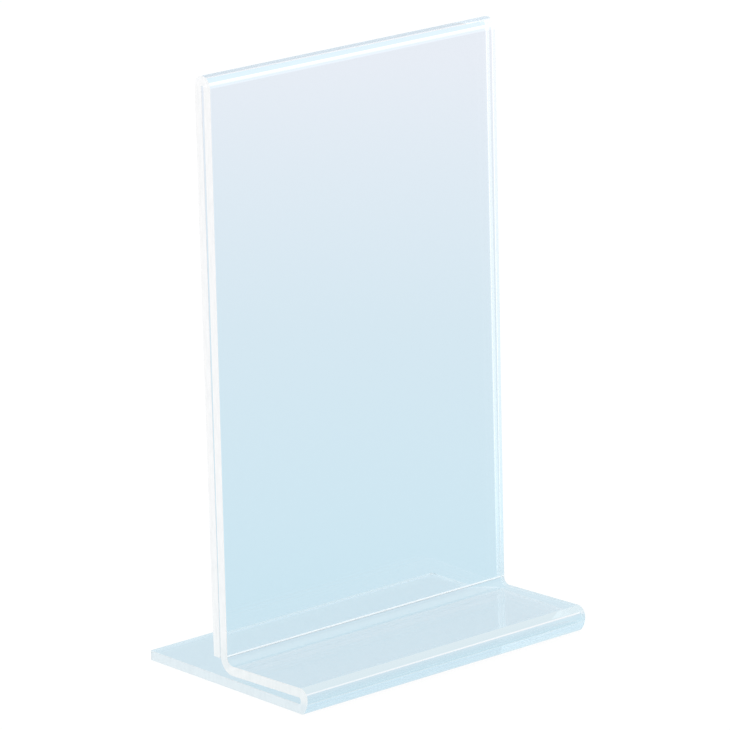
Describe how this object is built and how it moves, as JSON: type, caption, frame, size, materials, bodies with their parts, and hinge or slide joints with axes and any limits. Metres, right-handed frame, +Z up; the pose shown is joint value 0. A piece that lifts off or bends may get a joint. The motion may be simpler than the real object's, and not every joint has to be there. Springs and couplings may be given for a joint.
{
  "type": "acrylic photo stand",
  "caption": "Clear acrylic T-shaped tabletop stand for one portrait print: bent flat foot, upright front panel, folded top and a springy back panel.",
  "frame": {"origin": "centre of the base plate's underside, on the surface the stand rests on", "axes": "+Z up, -Y the front that the print faces, +X to the right seen from the front"},
  "size_m": [0.102, 0.067, 0.17],
  "materials": {
    "clear_acrylic": "polished clear sheet with bright saw-cut, lightly polished ends"
  },
  "bodies": {
    "stand": {"base_plate": "clear_acrylic", "front_return_bend": "clear_acrylic", "shelf": "clear_acrylic", "upright_bend": "clear_acrylic", "front_panel": "clear_acrylic", "top_fold": "clear_acrylic"},
    "back_leaf": {"back_panel": "clear_acrylic"}
  },
  "joints": [
    {"name": "back_panel_flex", "type": "hinge", "parent": "stand", "child": "back_leaf", "pos_m": [0, 0.0063, 0.16679], "axis": [1, 0, 0], "range_deg": [0, 2], "stiffness_Nm_per_rad": 10}
  ]
}
